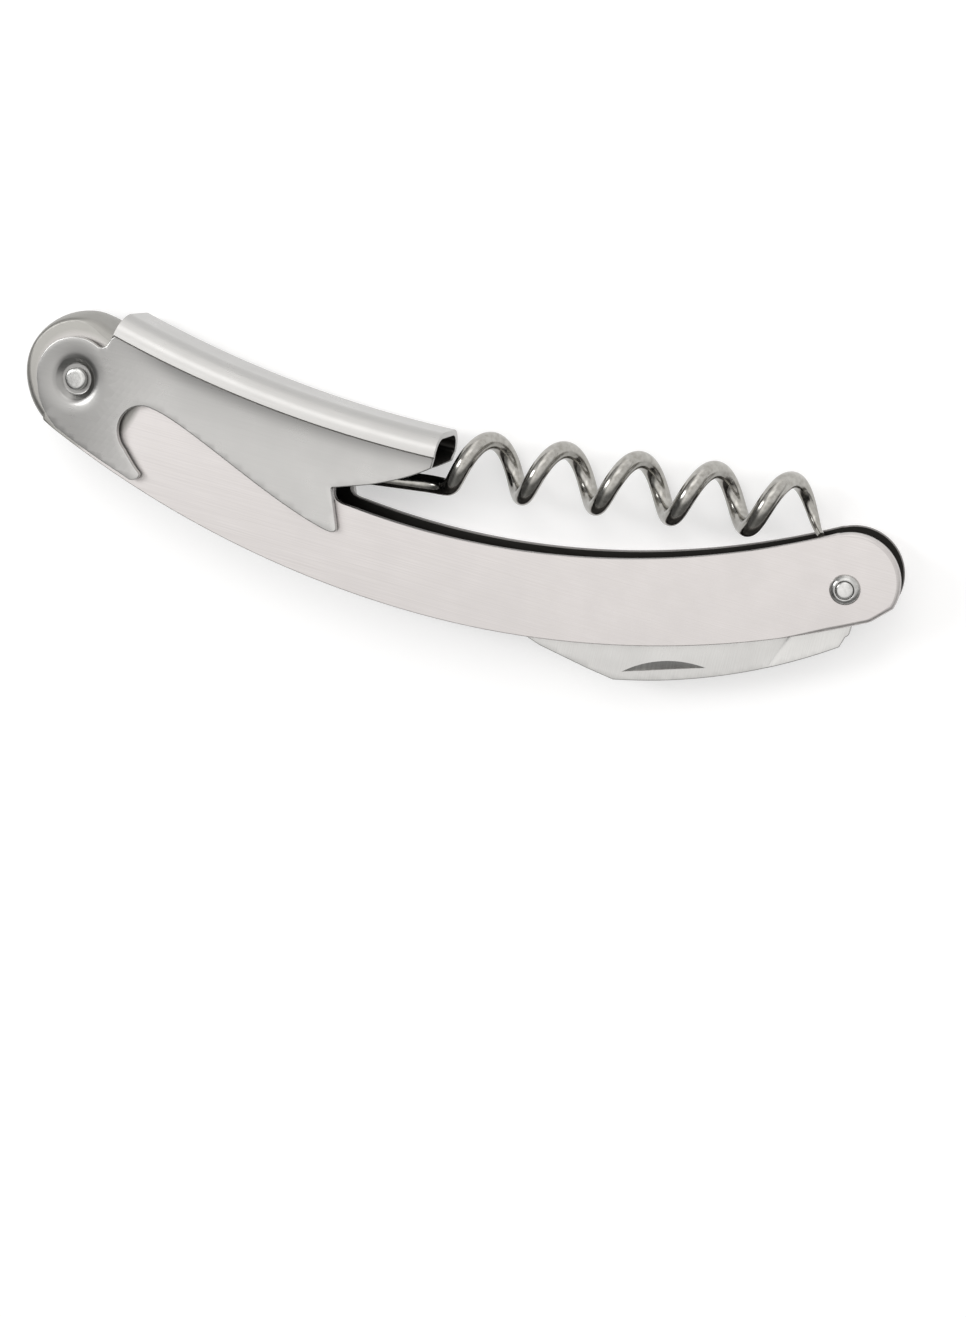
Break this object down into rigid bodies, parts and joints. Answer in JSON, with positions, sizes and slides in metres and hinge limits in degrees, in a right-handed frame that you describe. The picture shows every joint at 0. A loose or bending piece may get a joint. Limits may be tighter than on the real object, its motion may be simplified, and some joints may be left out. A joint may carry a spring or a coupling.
{
  "type": "lever corkscrew",
  "caption": "Folding lever corkscrew with a curved steel handle, a pivoting lever with cap hook and lip seat, a helical worm and a small foil knife.",
  "frame": {"origin": "middle of the closed tool's box, on the plane of the lever's rear cheek that it lies on", "axes": "+X from the lever pivot to the knife pivot, +Y from the belly edge to the worm side, +Z out of the front face, across the thickness"},
  "size_m": [0.1228, 0.0326, 0.0108],
  "materials": {
    "handle_sheet": "fine brushing along the handle, satin",
    "lever_sheet": "smooth satin, soft highlights along the rounded back",
    "worm_wire": "polished, dark reflections",
    "blade_steel": "ground across the blade",
    "spring_steel": "dull, dark",
    "pin_steel": "satin",
    "spacer_steel": "turned, dull",
    "washer_steel": "dull",
    "rivet_steel": "polished domed heads",
    "burr_steel": "bright with dark edges"
  },
  "bodies": {
    "handle": {"handle_channel": "handle_sheet", "back_spring": "spring_steel", "spring_pins": "pin_steel", "worm_pin": "pin_steel", "lever_bushing": "spacer_steel", "worm_spacer_front": "spacer_steel", "worm_spacer_rear": "spacer_steel", "knife_spacer_front": "spacer_steel", "knife_spacer_rear": "spacer_steel", "lever_washer_front": "washer_steel", "lever_washer_rear": "washer_steel", "lever_rivet": "rivet_steel", "knife_rivet": "rivet_steel", "knife_burr_front": "burr_steel", "knife_burr_rear": "burr_steel"},
    "lever": {"lever": "lever_sheet"},
    "worm": {"worm": "worm_wire"},
    "knife": {"knife_blade": "blade_steel"}
  },
  "joints": [
    {"name": "lever_pivot", "type": "hinge", "parent": "handle", "child": "lever", "pos_m": [-0.05223, 0.00419, 0.0054], "axis": [0, 0, 1], "range_deg": [0, 200]},
    {"name": "worm_pivot", "type": "hinge", "parent": "handle", "child": "worm", "pos_m": [-0.01773, 0.00269, 0.0054], "axis": [0, 0, 1], "range_deg": [0, 90]},
    {"name": "knife_pivot", "type": "hinge", "parent": "handle", "child": "knife", "pos_m": [0.05477, 0.00419, 0.0054], "axis": [0, 0, 1], "range_deg": [0, 170]}
  ],
  "couplings": [
    {"joint": "worm_pivot", "follows": "lever_pivot", "ratio": 0.45}
  ]
}
